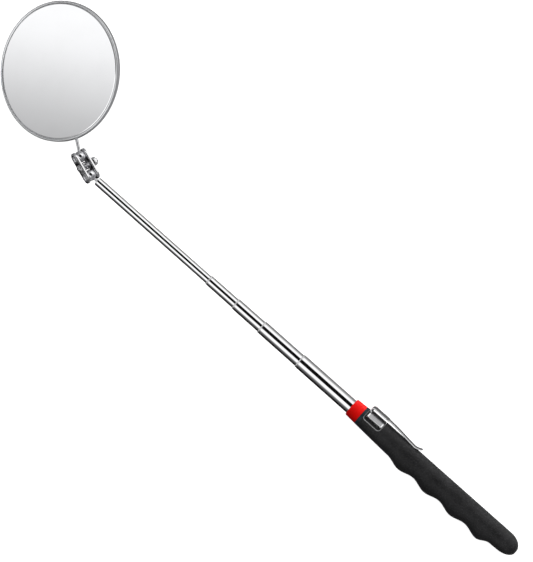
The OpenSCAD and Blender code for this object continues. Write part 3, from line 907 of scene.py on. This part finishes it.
@dataclass
class PocketClip:
    """The clip: a band round the grip and a springy arm that folds back over it."""

    thick: float = 0.75
    arm_w: float = 6.0
    tip_w: float = 3.6
    band_len: float = 10.7
    band_half: float = 61.0
    band_r: float = 6.45
    notch: float = 0.35
    lip: float = 0.6
    gap: float = 0.15
    bend_r: float = 0.95
    bend_x: float = -11.7
    reach: float = 33.4
    flat: float = 11.0
    sweep: float = 0.8
    touch_z: float = 7.4
    tip_len: float = 4.8
    tip_rise: float = 1.9
    tip_curl: float = 1.5
    tip_least: float = 0.1
    edge: float = 0.16
    margin: float = 0.7
    margin_blur: float = 0.4
    notch_blur: float = 0.4
    fade_from: float = 6.0
    fade: float = 5.0

    @property
    def upright(self) -> Matrix:
        """Gives the clip's own frame, with +Z towards the arm."""
        return rotation("X", 90)

    def arm_path(self) -> np.ndarray:
        """Gives the middle line of the arm: half a circle, a straight, a dip and a rising tip.

        Returns:
            The line's points (x, z).
        """
        out = self.bend_r + self.thick
        middle = self.bend_r + self.thick / 2
        centre = (self.bend_x, self.band_r + out)
        top = centre[1] + self.bend_r
        d = np.concatenate([[self.flat / 2], np.linspace(self.flat, self.reach + self.tip_len, 90)])
        t = np.clip((d - self.flat) / (self.reach - self.flat), 0, 1)
        drop = ease(t * self.sweep) / ease(self.sweep)
        rise = self.tip_rise * np.clip((d - self.reach) / self.tip_len, 0, 1) ** self.tip_curl
        under = top + (self.touch_z - top) * drop + rise
        run = np.stack([self.bend_x - d, under + self.thick / 2], axis=1)
        return np.concatenate([arc(centre, middle, -90, 90, 25), run])

    def arm(self) -> tuple[np.ndarray, np.ndarray]:
        """Gives the arm's grid, a rounded strip carried along its middle line, and its satin mark.

        The strip narrows evenly from the end of its straight part to where it touches the grip, and
        its tip is half a circle seen from above, of half width (t^2 - (t - e)^2)^0.5 at e from its end.
        The section has five points to a corner. The outer broad face, between two of them, is satin, and
        the satin mark paints it darker, a painted shade.

        Returns:
            The grid and the mark.
        """
        line = self.arm_path()
        step = np.gradient(line, axis=0)
        step /= np.linalg.norm(step, axis=1, keepdims=True)
        d = self.bend_x - line[:, 0]
        half = np.interp(d, [self.flat, self.reach], [self.arm_w / 2, self.tip_w / 2])
        tip = self.tip_w / 2
        to_end = np.clip(d[-1] - d, 0, tip)
        rounding = np.sqrt(np.maximum(tip**2 - (tip - to_end) ** 2, self.tip_least**2))
        half = np.where(d > self.flat, np.minimum(half, rounding), half)
        t, e = self.thick / 2, self.edge
        sections = []
        for across, up, start in [(1, -1, -90), (1, 1, 0), (-1, 1, 90), (-1, -1, 180)]:
            bow = arc((0, 0), e, start, start + 90, 5)
            s = across * (half[:, None] - e) + bow[None, :, 0]
            sections.append(np.stack([s, np.broadcast_to(up * (t - e) + bow[:, 1], s.shape)], axis=2))
        path = np.stack([line[:, 0], 0 * line[:, 0], line[:, 1]], axis=1)
        sideways = np.broadcast_to([0.0, 1.0, 0.0], path.shape)
        upright = np.stack([-step[:, 1], 0 * step[:, 0], step[:, 0]], axis=1)
        # Painted shade: the satin mark paints the arm's outer broad face darker.
        satin = np.broadcast_to(np.repeat([0.0, 1.0, 1.0, 0.0], 5), (len(path), 20))
        return carried(path, sideways, upright, np.concatenate(sections, axis=1)), satin

    def band(self) -> tuple[np.ndarray, np.ndarray]:
        """Gives the band's grid and its satin mark: a rounded sheet section (x, r) carried round the grip.

        Its front edge steps back where the arm's bend comes down to it. The section has five points to a
        corner and four more across its outer face. The mark is 1 on the inner two of those four, inside
        a margin, and fades towards the band's ends. It makes that panel rougher and paints it darker, a
        painted shade.

        Returns:
            The grid and the mark.
        """
        slot = np.degrees((self.arm_w / 2 + self.gap) / self.band_r)
        even = np.linspace(-self.band_half, self.band_half, 61)
        steps = np.array([s * slot + k * self.notch_blur for s in (-1, 1) for k in (-1, 1)])
        angle = np.unique(np.concatenate([even, steps]))
        front = np.where(np.abs(angle) < slot, self.bend_x - self.notch, self.bend_x + self.lip)
        back = self.bend_x - self.band_len
        low, high, e = self.band_r, self.band_r + self.thick, self.edge
        section = rounded_corners([(0, low, e), (1, low, e), (1, high, e), (0, high, e)], 5)
        within = self.margin + self.margin_blur
        panel = [(1 - self.margin, high), (1 - within, high), (within, high), (self.margin, high)]
        section = np.concatenate([section[:15], panel, section[15:]])
        side = np.repeat([0.0, 1.0, 0.0], [5, 12, 7])
        offset = section[:, 0] - side
        x = np.where(side[None] > 0.5, front[:, None], back) + offset[None]
        a = np.radians(angle)[:, None]
        # Painted shade: the satin mark paints the band's middle panel darker.
        inner = np.isin(np.arange(len(section)), [16, 17])[None]
        satin = inner * smooth((self.band_half - self.fade_from - np.abs(angle)) / self.fade)[:, None]
        return np.stack([x, section[None, :, 1] * np.sin(a), section[None, :, 1] * np.cos(a)], axis=2), satin

    def build(self, shop: Workshop) -> None:
        """Makes the band and the arm.

        Args:
            shop: Where pieces are made.
        """
        sheet = ("clip_sheet", "handle", "clip_band", self.band())
        strip = ("clip_strip", "clip_spring", "clip_arm", self.arm())
        for name, body, node, (grid, satin) in (sheet, strip):
            shop.piece(name, body, "clip_steel", [node], [(grid, Ends.CAPPED)], self.upright, marks={SATIN_AND_PAINTED_LIGHT: satin})


@dataclass
class Shaft:
    """The outer tube, the four sliding tubes, their friction sleeves and the stud in the tip."""

    outer_r: float = 4.75
    seat_r: float = 4.59
    step: float = 0.5
    wall: float = 0.3
    shows: tuple[float, ...] = (42.4, 31.2, 21.4, 22.1, 91.7)
    outer_tail: float = -119.5
    inner_len: float = 158.2
    tail_lip: float = 0.8
    sleeve_len: float = 9.1
    sleeve_seat: float = 0.12
    mouth_len: float = 1.2
    bead_len: float = 0.75
    bead_drop: float = 0.24
    groove: float = 0.16
    groove_ramp: float = 0.1
    bead_gap: float = 0.06
    bore_ramp: float = 0.2
    tip_edge: float = 0.1
    play: float = 0.05
    sides: int = 96

    def mouth(self, x: float, r: float) -> np.ndarray:
        """Gives the outline of a rolled mouth: a groove, a quarter-ellipse bead and a bore.

        Args:
            x: Where the mouth ends.
            r: The tube's outer radius.

        Returns:
            The outline's points.
        """
        back, start, bottom = x - self.mouth_len, x - self.bead_len, r - self.groove
        bore = r - self.step + self.play
        bead = arc((0.0, 0.0), 1.0, 90, 0, 9) * (self.bead_len, self.bead_drop) + (start, r - self.bead_drop)
        before = [(back, r), (back + self.groove_ramp, bottom), (start - self.bead_gap, bottom)]
        after = [(x, bore), (back, bore), (back - self.bore_ramp, r - self.wall)]
        return np.array([*before, *bead, *after])

    def tube(self, number: int) -> np.ndarray:
        """Gives a tube's outline (x, r), from its tail along the outside to its mouth and back inside.

        Args:
            number: 0 for the outer tube and 4 for the tip tube.

        Returns:
            The outline's points.
        """
        r = self.outer_r - number * self.step
        x = sum(self.shows[: number + 1])
        if number == 0:
            tail = [(self.outer_tail, r - self.wall), (self.outer_tail, self.seat_r), (0.0, self.seat_r), (0.0, r)]
            return np.concatenate([tail, self.mouth(x, r)])
        tail_x = x - self.inner_len
        seat, seat_end = tail_x + self.tail_lip, tail_x + self.tail_lip + self.sleeve_len
        low = r - self.sleeve_seat
        tail = [(tail_x, r - self.wall), (tail_x, r), (seat, r), (seat, low), (seat_end, low), (seat_end, r)]
        if number == len(self.shows) - 1:
            return np.array([*tail, (x - self.tip_edge, r), (x, r - self.tip_edge), (x, r - self.wall)])
        return np.concatenate([tail, self.mouth(x, r)])

    def build(self, shop: Workshop) -> None:
        """Makes the tubes, whose beads are satin and painted brighter, a painted highlight, and dresses the
        sleeves and the stud.

        Args:
            shop: Where pieces are made.
        """
        names = {
            "outer_tube": "handle", "first_tube": "first_section", "second_tube": "second_section",
            "third_tube": "third_section", "tip_tube": "tip_section",
        }
        for number, (node, body) in enumerate(names.items()):
            outline = self.tube(number)
            x = sum(self.shows[: number + 1])
            # Painted highlight: the satin mark paints each mouth's bead brighter.
            beaded = (outline[:, 0] > x - self.bead_len - self.bead_gap / 2) & (number < len(self.shows) - 1)
            satin = np.repeat(beaded[:, None].astype(float), self.sides, axis=1)
            grids = [(turned(outline, self.sides), Ends.JOINED)]
            shop.piece(node + "_drawn", body, "chrome_tube", [node], grids, marks={SATIN_AND_PAINTED_LIGHT: satin})
        sleeves = ["first_sleeve", "second_sleeve", "third_sleeve", "tip_sleeve"]
        shop.keep({name: "spring_brass" for name in sleeves} | {"tip_stud": "bright_steel"})


@dataclass
class Pose:
    """Where the clamp, the stem and the head lie at rest, from the tip of the shaft outwards."""

    tip_x: float = 208.8
    tip_roll: float = -48.4
    ball_reach: float = 6.15
    clamp_tilt: float = 15.1
    clamp_swing: float = -12.8
    ball_pitch: float = 13.02
    stem_swing: float = -1.1
    stem_tilt: float = 18.4
    stem_reach: float = 54.4
    head_spin: float = 38.5

    @property
    def clamp(self) -> Matrix:
        """Gives the clamp's frame, at the lower ball, +X to the upper ball and +Z to the near plate."""
        tip = shift(self.tip_x) @ rotation("X", self.tip_roll) @ shift(self.ball_reach)
        return tip @ rotation("Y", self.clamp_tilt) @ rotation("Z", self.clamp_swing)

    @property
    def stem(self) -> Matrix:
        """Gives the stem's frame, at the upper ball, +X along the stem."""
        return self.clamp @ shift(self.ball_pitch) @ rotation("Z", self.stem_swing) @ rotation("Y", self.stem_tilt)

    @property
    def head(self) -> Matrix:
        """Gives the head's frame, at the middle of the head on the stem's axis, +Z out of the glass."""
        return self.stem @ shift(self.stem_reach) @ rotation("X", self.head_spin)


@dataclass
class BallClamp:
    """Two plates that hold a ball at each end, drawn together by a screw against a spring."""

    pose: Pose
    plate_z: float = 2.7
    wire_r: float = 0.36
    coil_r: float = 2.35
    turns: float = 3.75
    closed: float = 0.8
    closed_pitch: float = 0.1
    plate_round: float = 0.22
    screw_round: float = 0.12

    def spring(self) -> np.ndarray:
        """Gives the spring's grid: a round wire carried along a helix whose end turns lie flatter.

        Returns:
            The grid.
        """
        turn = np.linspace(0, self.turns, 240)
        eased = (turn - self.closed / 2) / (self.turns - self.closed)
        share = np.clip(self.closed_pitch * turn / self.turns + (1 - self.closed_pitch) * eased, 0, 1)
        low, high = -self.plate_z + self.wire_r, self.plate_z - self.wire_r
        share = (share - share[0]) / (share[-1] - share[0])
        angle = TURN * turn
        z = low + (high - low) * share
        out = np.stack([np.cos(angle), np.sin(angle), 0 * angle], axis=1)
        path = out * self.coil_r + np.stack([0 * z + self.pose.ball_pitch / 2, 0 * z, z], axis=1)
        along = np.gradient(path, axis=0)
        along /= np.linalg.norm(along, axis=1, keepdims=True)
        sections = np.broadcast_to(arc((0, 0), self.wire_r, 0, 330, 12), (len(path), 12, 2))
        return carried(path, out, np.cross(along, out), sections)

    def build(self, shop: Workshop) -> None:
        """Makes the spring, softens the plates, the screw and the nut, and dresses the rest.

        Args:
            shop: Where pieces are made.
        """
        coil = [(self.spring(), Ends.CAPPED)]
        shop.piece("tension_coil", "clamp", "spring_steel", ["tension_spring"], coil, self.pose.clamp)
        shop.softened("near_plate", "near_cheek", "clamp", "plate_steel", self.plate_round)
        shop.softened("far_plate", "far_cheek", "clamp", "plate_steel", self.plate_round)
        shop.softened("tension_screw", "cross_screw", "clamp", "screw_steel", self.screw_round)
        shop.softened("tension_nut", "hex_nut", "clamp", "screw_steel", self.screw_round)
        shop.keep({"tension_washer": "screw_steel", "tube_ball": "ball_steel", "mirror_ball": "ball_steel"})


@dataclass
class MirrorHead:
    """The glass in its rolled rim, the case behind it and the saddle that turns on the stem."""

    pose: Pose
    head_r: float = 43.49
    foot_z: float = 1.9
    glass_z: float = 2.3
    glass_thick: float = 2.0
    bevel_w: float = 1.0
    bevel_h: float = 0.4
    rim_lip: float = 0.5
    rim_w: float = 1.6
    rim_t: float = 0.5
    rim_round: float = 0.9
    lip_round: float = 0.22
    foot_round: float = 0.12
    roof: float = 0.15
    play: float = 0.05
    case_t: float = 0.6
    glass_gap: float = 0.1
    face_blend: float = 0.12
    face_drops: tuple[float, float] = (0.012, 0.045)
    face_crease: float = 3.0
    saddle_round: float = 0.12
    sides: int = 256

    @property
    def glass_r(self) -> float:
        """Gives the radius of the glass."""
        return self.head_r - self.rim_t - self.case_t - self.glass_gap

    @property
    def glass_top(self) -> float:
        """Gives the height of the glass's face."""
        return self.glass_z + self.glass_thick

    def glass(self) -> np.ndarray:
        """Gives the glass's grid: an outline (r, z) spun, whose bevel runs into the face on a small curve.

        Returns:
            The grid.
        """
        r, top = self.glass_r, self.glass_top
        face_r, blend = r - self.bevel_w, self.face_blend
        middle, outer = self.face_drops
        bevel = [(r, top - self.bevel_h), (face_r + blend, top - outer), (face_r, top - middle), (face_r - blend, top)]
        outline = [(0, self.glass_z), (r, self.glass_z), *bevel, (r / 2, top), (0, top)]
        return turned(np.array([(z, radius) for radius, z in outline]), self.sides)

    def rim(self) -> np.ndarray:
        """Gives the rim's grid: a wall round the case, rolled in over the glass on a round edge.

        Its lip stands a little above the bevel, whose height at the lip is top - h (1 - (r - lip) / w).

        Returns:
            The grid.
        """
        top = self.glass_top + self.rim_lip
        case_r = self.head_r - self.rim_t
        inner_r = self.head_r - self.rim_w
        drop = self.bevel_h * (1 - (self.glass_r - inner_r) / self.bevel_w)
        inner_z = self.glass_top - drop + self.play
        low, high = self.foot_round, self.lip_round
        foot = arc((self.head_r - low, self.foot_z + low), low, 270, 360, 5)
        roll = arc((self.head_r - self.rim_round, top - self.rim_round), self.rim_round, 0, 96, 14)
        lip = arc((inner_r + high, inner_z + high), high, 120, 225, 8)
        points = [[case_r, self.foot_z], *foot, *roll, *lip, [case_r, top - self.rim_round + self.roof]]
        return turned(np.array([(z, radius) for radius, z in points]), self.sides)

    def build(self, shop: Workshop) -> None:
        """Makes the glass and the rim, softens the saddle, and dresses the rest.

        Args:
            shop: Where pieces are made.
        """
        upright = self.pose.head @ rotation("Y", -90)
        glass, rim = [(self.glass(), Ends.POINTED)], [(self.rim(), Ends.JOINED)]
        shop.piece("bevelled_glass", "head", "mirror_glass", ["mirror_glass"], glass, upright, self.face_crease)
        shop.piece("rolled_rim", "head", "rim_steel", ["mirror_rim"], rim, upright)
        shop.softened("stem_saddle", "pressed_saddle", "head", "saddle_steel", self.saddle_round)
        slots = {
            "saddle_rivets": "rivet_aluminium", "mirror_case": "case_steel",
            "mirror_pad": "foam_pad", "mirror_stem": "bright_steel",
        }
        shop.keep(slots)


# ---- stage ----


@dataclass
class Viewpoint:
    """The camera, by where it looks, from which side and with which way up."""

    aim: tuple[float, float, float] = (0.0911, -0.0190, -0.0172)
    towards: tuple[float, float, float] = (-0.09585, -0.27437, 0.95684)
    up: tuple[float, float, float] = (0.66009, -0.73702, -0.14522)
    distance: float = 1.923
    lens: float = 200.0
    sight: float = 20.0

    @property
    def eye(self) -> Vector:
        """Gives the camera's place."""
        return Vector(self.aim) + Vector(self.towards).normalized() * self.distance

    def build(self) -> None:
        """Makes the camera and gives it to the scene."""
        back = Vector(self.towards).normalized()
        right = Vector(self.up).cross(back).normalized()
        up = back.cross(right)
        data = bpy.data.cameras.new("camera")
        data.lens = self.lens
        data.clip_end = self.sight
        camera = placed("camera", data)
        camera.matrix_world = Matrix.Translation(self.eye) @ Matrix((right, up, back)).transposed().to_4x4()
        bpy.context.scene.camera = camera


@dataclass
class Studio:
    """A pale floor, an even white sky for matte surfaces, and softboxes that polished metal sees."""

    view: Viewpoint
    pose: Pose
    floor_size: float = 8.0
    floor_gap: float = 0.0003
    floor_glow: float = 0.75
    sky: float = 0.25
    fill: float = 1.9
    fill_from: float = -20.0
    fill_to: float = 70.0
    fill_off: tuple[float, float] = (0.93, 1.0)
    edge: float = 7.0
    edge_on: tuple[float, float] = (0.76, 0.79)
    edge_off: tuple[float, float] = (0.87, 0.91)
    boxes: float = 1.25
    end_shade: float = 0.85
    shade_from: tuple[float, float] = (0.12, 0.85)
    grey_from: tuple[float, float] = (0.12, 0.45)
    end_grey: tuple[float, float, float] = (0.45, 0.45, 0.46)
    lean: float = 0.2
    glass_top: float = 4.3
    card_reach: float = 0.9
    card_half: float = 0.34
    card_shaded: float = 0.16

    def floor(self) -> None:
        """Makes the floor, a plane that touches the underside of the grip and of the rim."""
        grip_low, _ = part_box("rubber_grip")
        rim_low, rim_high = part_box("mirror_rim")
        slope = (rim_low.z - grip_low.z) / (rim_high.x - grip_low.x)
        corner = np.array([(-1, -1), (1, -1), (1, 1), (-1, 1)]) * self.floor_size / 2
        z = grip_low.z + slope * (corner[:, 0] - grip_low.x) - self.floor_gap
        self._plane("floor", np.column_stack([corner, z]), self._floor_material())

    def _floor_material(self) -> bpy.types.Material:
        """Makes the floor's matte white, with the faintest unevenness.

        Returns:
            The material.
        """
        material, recipe = new_material("floor")
        cloud = recipe.noise(recipe.coordinates(), 2.0, 2.0)
        recipe.surface(
            {
                "Base Color": recipe.shades(cloud, (0.9, 0.9, 0.9), (0.92, 0.92, 0.92)),
                "Roughness": 0.9,
                "Specular IOR Level": 0.2,
                "Emission Color": (1.0, 1.0, 1.0, 1.0),
                "Emission Strength": self.floor_glow,
            }
        )
        return material

    def _plane(self, name: str, corners: np.ndarray, material: bpy.types.Material) -> bpy.types.Object:
        """Makes a flat stage piece that no surface of the tool gets light from.

        Args:
            name: Its name.
            corners: Its four corners, in metres.
            material: Its material.

        Returns:
            The stage piece.
        """
        mesh = bpy.data.meshes.new(name)
        mesh.from_pydata(corners.tolist(), [], [[0, 1, 2, 3]])
        mesh.materials.append(material)
        made = placed(name, mesh)
        made.visible_glossy = False
        made.visible_diffuse = False
        return made

    def card(self) -> None:
        """Makes the shaded card that the glass reflects: white at the head's top, grey at its foot.

        The ray from the camera to the middle of the glass is turned back by r = 2(n.v)n - v, and the
        card stands square to it, with its shading along the way that the reflection runs.
        """
        head = self.pose.head
        normal = np.array(head.col[2][:3])
        middle = np.array(head.translation) + normal * self.glass_top * MM
        to_eye = np.array(self.view.eye) - middle
        to_eye /= np.linalg.norm(to_eye)
        turned_back = 2 * (normal @ to_eye) * normal - to_eye
        up = np.array(self.view.up) + self.lean * np.cross(self.view.up, self.view.towards)
        along = up - 2 * (normal @ up) * normal
        along -= turned_back * (along @ turned_back)
        along /= np.linalg.norm(along)
        across = np.cross(along, turned_back)
        centre = middle + turned_back * self.card_reach
        signs = np.array([(-1, -1), (1, -1), (1, 1), (-1, 1)]) * self.card_half
        corners = centre + signs[:, :1] * across + signs[:, 1:] * along
        material, recipe = new_material("shaded_card")
        values = {0: recipe.coordinates(), 1: tuple(centre)}
        place = recipe.node("ShaderNodeVectorMath", {"operation": "SUBTRACT"}, values).out()
        values = {0: place, 1: tuple(along)}
        height = recipe.node("ShaderNodeVectorMath", {"operation": "DOT_PRODUCT"}, values).out("Value")
        share = height.rise(-self.card_shaded, self.card_shaded)
        stops = [
            (0.0, 0.30), (0.30, 0.50), (0.38, 0.614), (0.442, 0.731), (0.505, 0.859),
            (0.567, 0.973), (0.61, 1.03), (0.66, 1.06), (1.0, 1.08),
        ]
        ramp = recipe.node("ShaderNodeValToRGB", {"stops": [(s, (v, v, v * 1.005)) for s, v in stops]}, {0: share})
        glow = recipe.node("ShaderNodeEmission", None, {"Color": ramp.out(), "Strength": 1.0})
        recipe.node("ShaderNodeOutputMaterial", None, {0: glow.out()})
        made = self._plane("shaded_card", corners, material)
        made.visible_glossy = True
        made.visible_camera = False
        made.visible_shadow = False

    def air(self) -> None:
        """Makes the world: a glow that grows towards -Y for matte surfaces, and softboxes for gloss.

        Both go by the angle about X from straight up, positive towards -Y, so the softboxes are stripes
        along the shaft. In the glow's fields it is a share of the whole turn, 0.5 being straight up.
        Towards both ends of X, by x^2, the softboxes fade into an even, darker grey.
        """
        world = bpy.data.worlds.new("studio")
        bpy.context.scene.world = world
        world.use_nodes = True
        recipe = Recipe(world.node_tree)
        way = recipe.node("ShaderNodeTexCoord").out("Generated")
        x, y, z = recipe.axes(way)
        angle = (y * -1.0).math("ARCTAN2", y * -1.0, z) / TURN + 0.5
        stripes = [
            (-180, 0.06), (-165, 0.003), (-96, 0.003), (-80, 0.05), (-58, 0.13), (-46, 0.34), (-38, 0.85), (-33, 1.0),
            (1, 1.0), (5, 0.003), (53, 0.003), (56, 1.0), (94, 1.0), (103, 0.50), (120, 0.30), (150, 0.18), (180, 0.05),
        ]
        stops = [(degrees / 360 + 0.5, (value,) * 3) for degrees, value in stripes]
        ramp = recipe.node("ShaderNodeValToRGB", {"stops": stops}, {0: angle})
        low, high = self.fill_from / 360 + 0.5, self.fill_to / 360 + 0.5
        fill = angle.rise(low, high) * (1.0 - angle.rise(*self.fill_off))
        edge = angle.rise(*self.edge_on) * (1.0 - angle.rise(*self.edge_off))
        glow = fill * self.fill + edge * self.edge + self.sky
        even = recipe.node("ShaderNodeBackground", None, {0: (1.0, 1.0, 1.0, 1.0), 1: glow})
        ends = x * x
        light = recipe.shades(ends.rise(*self.grey_from), ramp.out(), self.end_grey)
        strength = self.boxes - ends.rise(*self.shade_from) * self.end_shade
        gloss = recipe.node("ShaderNodeBackground", None, {0: light, 1: strength})
        path = recipe.node("ShaderNodeLightPath")
        mixed = recipe.node("ShaderNodeMixShader", None, {0: path.out("Is Glossy Ray"), 1: even.out(), 2: gloss.out()})
        recipe.node("ShaderNodeOutputWorld", None, {0: mixed.out()})

    def build(self) -> None:
        """Makes the floor, the card and the air, and shows colours as they are."""
        self.floor()
        self.card()
        self.air()
        bpy.context.scene.view_settings.view_transform = "Standard"


def finishes() -> list[Finish]:
    """Lists the tool's finishes.

    Returns:
        One finish for each slot.
    """
    chrome, worn_chrome = (0.82, 0.82, 0.83), (0.77, 0.77, 0.78)
    return [
        # The soft rubber's fourth colour is the painted highlight on the recess's border.
        Rubber(
            "soft_rubber", (0.006, 0.006, 0.0065), (0.050, 0.050, 0.053), (0.008, 0.020, 0.026), (0.22, 0.22, 0.225),
            (-9.7 * MM, -7.7 * MM),
        ),
        Moulded("black_plastic", (0.02, 0.02, 0.022), (0.03, 0.03, 0.032), 0.45),
        Moulded("red_plastic", (0.60, 0.0015, 0.0), (0.48, 0.001, 0.0), 0.36, coat=0.0, gloss=0.08),
        # The beads' satin tint is brighter than the chrome, a painted highlight.
        Metal(
            "chrome_tube", chrome, worn_chrome, 0.035, 0.04, (0.03, 1.0, 1.0), 2600.0, 0.3e-6,
            painted_light_tint=(0.95, 0.95, 0.95), satin=0.5,
        ),
        Metal("spring_brass", (0.72, 0.53, 0.26), (0.60, 0.42, 0.20), 0.24, 0.14),
        # The clip's satin faces take a much darker tint, a painted shade.
        Metal(
            "clip_steel", (0.78, 0.78, 0.79), (0.70, 0.70, 0.71), 0.16, 0.08, (0.08, 1.0, 1.0), 1800.0, 1.2e-6,
            painted_light_tint=(0.38, 0.38, 0.39), satin=0.34,
        ),
        Metal("bright_steel", (0.80, 0.80, 0.82), (0.74, 0.74, 0.76), 0.06, 0.06),
        Metal("ball_steel", (0.84, 0.84, 0.86), (0.80, 0.80, 0.82), 0.05, 0.05),
        Metal("plate_steel", (0.82, 0.82, 0.83), (0.76, 0.76, 0.77), 0.10, 0.10, marks=1500.0, mark_depth=1.2e-6),
        Metal("screw_steel", (0.80, 0.80, 0.81), (0.72, 0.72, 0.73), 0.14, 0.10, marks=1500.0, mark_depth=1.2e-6),
        Metal("spring_steel", (0.55, 0.55, 0.57), (0.45, 0.45, 0.47), 0.20, 0.10),
        Metal("saddle_steel", (0.60, 0.60, 0.62), (0.52, 0.52, 0.54), 0.22, 0.12),
        Metal("rivet_aluminium", (0.80, 0.80, 0.81), (0.72, 0.72, 0.73), 0.25, 0.10),
        Metal("case_steel", (0.66, 0.67, 0.69), (0.58, 0.59, 0.61), 0.20, 0.14, (1.0, 0.05, 1.0), 900.0, 1.5e-6),
        Moulded("foam_pad", (0.05, 0.05, 0.052), (0.035, 0.035, 0.037), 0.85, texture=2500.0, texture_depth=60e-6),
        Silvered("mirror_glass", (0.93, 0.935, 0.945), (0.90, 0.905, 0.915)),
        Metal("rim_steel", (0.84, 0.85, 0.86), (0.78, 0.79, 0.80), 0.34, 0.08, marks=1500.0, mark_depth=1.0e-6),
    ]


def main() -> None:
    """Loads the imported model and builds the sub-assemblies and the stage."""
    logging.basicConfig(level=logging.INFO, format="%(message)s")
    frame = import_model()
    shop = Workshop(Wardrobe(finishes()), frame)
    pose = Pose()
    view = Viewpoint()
    view.build()
    Grip().build(shop)
    PocketClip().build(shop)
    Shaft().build(shop)
    BallClamp(pose).build(shop)
    MirrorHead(pose).build(shop)
    Studio(view, pose).build()


if __name__ == "__main__":
    main()
